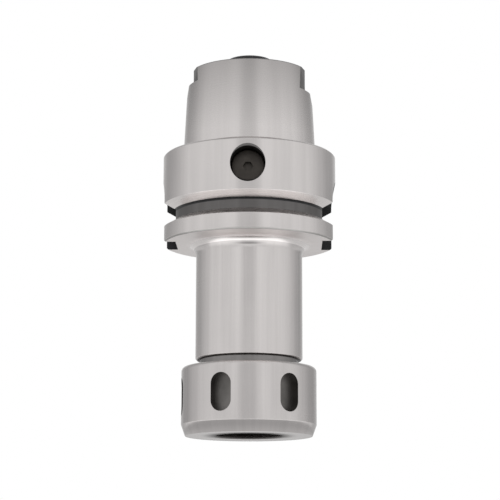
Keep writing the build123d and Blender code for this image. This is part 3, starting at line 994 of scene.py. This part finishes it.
def make_chip_plug():
    """The plug in the chip hole, with a round rim and a hexagon socket, made upright and then laid down."""
    face = FLANGE_RADIUS - CHIP_PLUG_RECESS
    back = FLANGE_RADIUS - CHIP_HOLE_DEPTH
    rim = (CHIP_PLUG_RADIUS - CHIP_PLUG_CHAMFER, face - CHIP_PLUG_CHAMFER)
    outline = [(0, back), (CHIP_PLUG_RADIUS, back)]
    outline += arc(rim, CHIP_PLUG_CHAMFER, 0, 90, CHIP_PLUG_ARC_STEPS)
    outline += [(0, face)]
    plug = lathe("chip_plug_turned", outline, lambda radius, height: "plug", {"plug": PLUG})
    hexagon = circle(CHIP_SOCKET_SIZE / math.sqrt(3), 6)
    side = Vector((1, 0, 0))
    up = Vector((0, 1, 0))
    low = placed(hexagon, Vector((0, 0, face - CHIP_SOCKET_DEPTH)), side, up)
    high = placed(hexagon, Vector((0, 0, face + CUT_MARGIN)), side, up)
    cut(plug, [loft("plug_socket", low, high, PLUG)])
    shade(plug, outline)
    turn = Matrix.Rotation(math.radians(90), 4, "X")
    plug.data.transform(Matrix.Translation((0, 0, CHIP_HOLE_CENTRE)) @ turn)
    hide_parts("chip_plug")
    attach(plug, "chuck")


def dress_nodes():
    """Finishes for the CAD nodes that show as they are."""
    for name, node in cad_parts.items():
        finish = BALL if name.startswith("bearing_ball") else CAD_FINISHES.get(name)
        if finish is None:
            continue
        if not node.material_slots:
            node.data.materials.append(finish)
        for slot in node.material_slots:
            slot.material = finish
        for polygon in node.data.polygons:
            polygon.use_smooth = True
        node.data.set_sharp_from_angle(angle=CREASE_ANGLE)


def make_floor():
    """A pale floor that stays just under the nut, on which the chuck stands. It is clear from below, and
    glossy rays see it glow with a painted reflection.
    """
    mesh = bpy.data.meshes.new("floor")
    corners = ((-1, -1), (1, -1), (1, 1), (-1, 1))
    mesh.from_pydata([(x * FLOOR_HALF, y * FLOOR_HALF, FLOOR_LEVEL) for x, y in corners], [], [(0, 1, 2, 3)])
    material, n = new_material("floor_white")
    matte = n.add("ShaderNodeBsdfDiffuse")
    matte.inputs["Color"].default_value = FLOOR_COLOR
    x, y, _ = n.split(n.place())
    share = n.spread(n.distance(x, y), 0.0, 1.0, 0.0, FLOOR_TONE_REACH)
    in_front = n.spread(y, 1.0, 0.0, *FLOOR_FRONT_EDGE)
    front = n.math("MULTIPLY", n.ramp(share, PAINTED_FRONT_REFLECTION), in_front)
    tone = n.math("ADD", n.ramp(share, PAINTED_FLOOR_REFLECTION), front)
    # Painted shade in the reflection round a stand's place in front
    from_stand = n.distance(x, n.math("SUBTRACT", y, STAND_PLACE))
    stand_painted_shade = n.math("MULTIPLY", tone, n.spread(from_stand, PAINTED_STAND_SHADE, 1.0, *STAND_REACH))
    # Painted reflection: glossy rays see the floor glow with these tones
    painted_reflection = n.add("ShaderNodeEmission")
    n.join(stand_painted_shade, painted_reflection.inputs["Color"])
    painted_reflection.inputs["Strength"].default_value = PAINTED_REFLECTION_GLOW
    mirrored = n.add("ShaderNodeLightPath").outputs["Is Glossy Ray"]
    from_above = n.choose(mirrored, matte.outputs[0], painted_reflection.outputs[0])
    clear = n.add("ShaderNodeBsdfTransparent")
    from_below = n.add("ShaderNodeNewGeometry").outputs["Backfacing"]
    n.show(n.choose(from_below, from_above, clear.outputs[0]))
    mesh.materials.append(material)
    floor = link("floor", mesh)
    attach(floor, "collet_set")


def make_world():
    """A white background for the camera, the tones that metal shows of it, and a plain even light."""
    world = bpy.data.worlds.new("studio")
    bpy.context.scene.world = world
    world.use_nodes = True
    n = Nodes(world.node_tree)
    path = n.add("ShaderNodeLightPath")
    mirrored = n.math("MAXIMUM", path.outputs["Is Glossy Ray"], path.outputs["Is Transmission Ray"])
    seen = n.math("MAXIMUM", path.outputs["Is Camera Ray"], mirrored)
    x, y, _ = n.split(n.place("Generated"))
    away = n.math("DIVIDE", y, n.math("MAXIMUM", n.distance(x, y), WORLD_POLE))
    tones = n.ramp(n.spread(away, 0.0, 1.0, -1.0, 1.0), WORLD_TONES)
    light = n.add("ShaderNodeBackground")
    light.inputs["Color"].default_value = WORLD_LIGHT
    backdrop = n.add("ShaderNodeBackground")
    n.join(n.blend(path.outputs["Is Camera Ray"], tones, BACKGROUND), backdrop.inputs["Color"])
    n.show(n.choose(seen, light.outputs[0], backdrop.outputs[0]), "ShaderNodeOutputWorld")


def add_lamp(name, place):
    """A soft rectangular lamp that faces the object."""
    lamp = bpy.data.lights.new(name, "AREA")
    lamp.shape = "RECTANGLE"
    lamp.size, lamp.size_y = LAMP_SIZE
    lamp.energy = LAMP_POWER
    obj = bpy.data.objects.new(name, lamp)
    obj.location = place
    obj.rotation_euler = (Vector(LAMP_AIM) - Vector(place)).to_track_quat("-Z", "Y").to_euler()
    bpy.context.scene.collection.objects.link(obj)


def make_camera():
    """The photograph's viewing angle: from a little below, looking slightly up."""
    camera = bpy.data.cameras.new("camera")
    camera.sensor_width = SENSOR
    camera.lens = FOCAL_PIXELS / IMAGE_SIZE * SENSOR
    camera.clip_start = CAMERA_CLIP_START
    obj = bpy.data.objects.new("camera", camera)
    obj.location = (
        CAMERA_DISTANCE * math.sin(CAMERA_AZIMUTH),
        -CAMERA_DISTANCE * math.cos(CAMERA_AZIMUTH),
        CAMERA_HEIGHT,
    )
    yaw = math.atan((IMAGE_SIZE / 2 - AXIS_COLUMN) / FOCAL_PIXELS)
    heading = Matrix.Rotation(CAMERA_AZIMUTH - yaw, 4, "Z")
    pitch = Matrix.Rotation(math.radians(90) + CAMERA_PITCH, 4, "X")
    roll = Matrix.Rotation(CAMERA_ROLL, 4, "Z")
    obj.rotation_euler = (heading @ pitch @ roll).to_euler()
    bpy.context.scene.collection.objects.link(obj)
    bpy.context.scene.camera = obj


make_body()
make_thread()
make_nut()
make_chip_plug()
dress_nodes()
make_floor()
make_world()
for lamp_name, lamp_place in LAMP_PLACES.items():
    add_lamp(lamp_name, lamp_place)
make_camera()

bpy.context.scene.view_settings.view_transform = "Standard"
